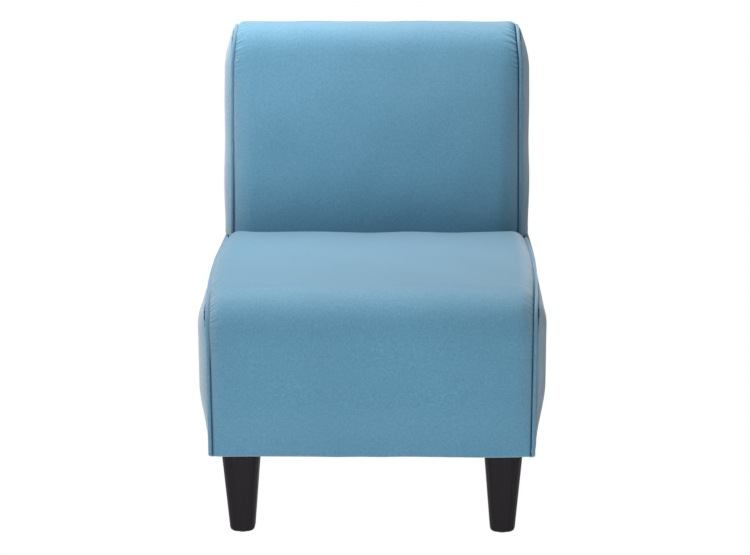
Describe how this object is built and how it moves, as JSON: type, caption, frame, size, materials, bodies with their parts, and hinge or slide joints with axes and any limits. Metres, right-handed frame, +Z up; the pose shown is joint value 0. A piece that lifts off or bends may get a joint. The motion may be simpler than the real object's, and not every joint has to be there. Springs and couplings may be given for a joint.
{
  "type": "slipper chair",
  "caption": "Armless upholstered slipper chair with a waterfall seat, a reclined block back, welted side panels and dark tapered legs.",
  "frame": {"origin": "centre of the footprint box on the floor, under the glides", "axes": "+Z up, -Y towards the sitter's feet (the front of the seat), +X to the right as seen from the front"},
  "size_m": [0.586, 0.6984, 0.8065],
  "materials": {
    "velvet": "short cotton-look velvet pile, light steel blue, over covered piping of the same cloth",
    "foam": "polyurethane foam",
    "wadding": "polyester wadding",
    "plywood": "raw furniture plywood",
    "espresso": "solid wood, espresso stain under satin lacquer",
    "steel": "bright spring wire and zinc-plated fittings",
    "cambric": "black non-woven dust cloth",
    "felt": "needled fibre insulator",
    "elastic": "woven elastic webbing",
    "nylon": "moulded nylon"
  },
  "bodies": {
    "root": {"seat_cover": "velvet", "seat_foam": "foam", "front_pad": "foam", "inside_back_cover": "velvet", "outside_back_cover": "velvet", "back_foam": "foam", "seat_side_cover_left": "velvet", "back_side_cover_left": "velvet", "seat_side_pad_left": "wadding", "back_side_pad_left": "wadding", "seat_side_cover_right": "velvet", "back_side_cover_right": "velvet", "seat_side_pad_right": "wadding", "back_side_pad_right": "wadding", "seat_welt_left": "velvet", "back_welt_left": "velvet", "seat_welt_right": "velvet", "back_welt_right": "velvet", "front_rail": "plywood", "rear_rail": "plywood", "side_rail_left": "plywood", "back_post_left": "plywood", "corner_block_front_left": "plywood", "corner_block_rear_left": "plywood", "side_rail_right": "plywood", "back_post_right": "plywood", "corner_block_front_right": "plywood", "corner_block_rear_right": "plywood", "top_back_rail": "plywood", "lower_back_rail": "plywood", "back_web_1": "elastic", "back_web_2": "elastic", "back_web_3": "elastic", "seat_spring_1": "steel", "front_clip_1": "steel", "rear_clip_1": "steel", "seat_spring_2": "steel", "front_clip_2": "steel", "rear_clip_2": "steel", "seat_spring_3": "steel", "front_clip_3": "steel", "rear_clip_3": "steel", "seat_spring_4": "steel", "front_clip_4": "steel", "rear_clip_4": "steel", "spring_insulator": "felt", "front_leg_left": "espresso", "front_glide_left": "nylon", "front_leg_plate_left": "steel", "rear_leg_left": "espresso", "rear_glide_left": "nylon", "rear_leg_plate_left": "steel", "front_leg_right": "espresso", "front_glide_right": "nylon", "front_leg_plate_right": "steel", "rear_leg_right": "espresso", "rear_glide_right": "nylon", "rear_leg_plate_right": "steel", "dust_cover": "cambric"}
  },
  "joints": []
}
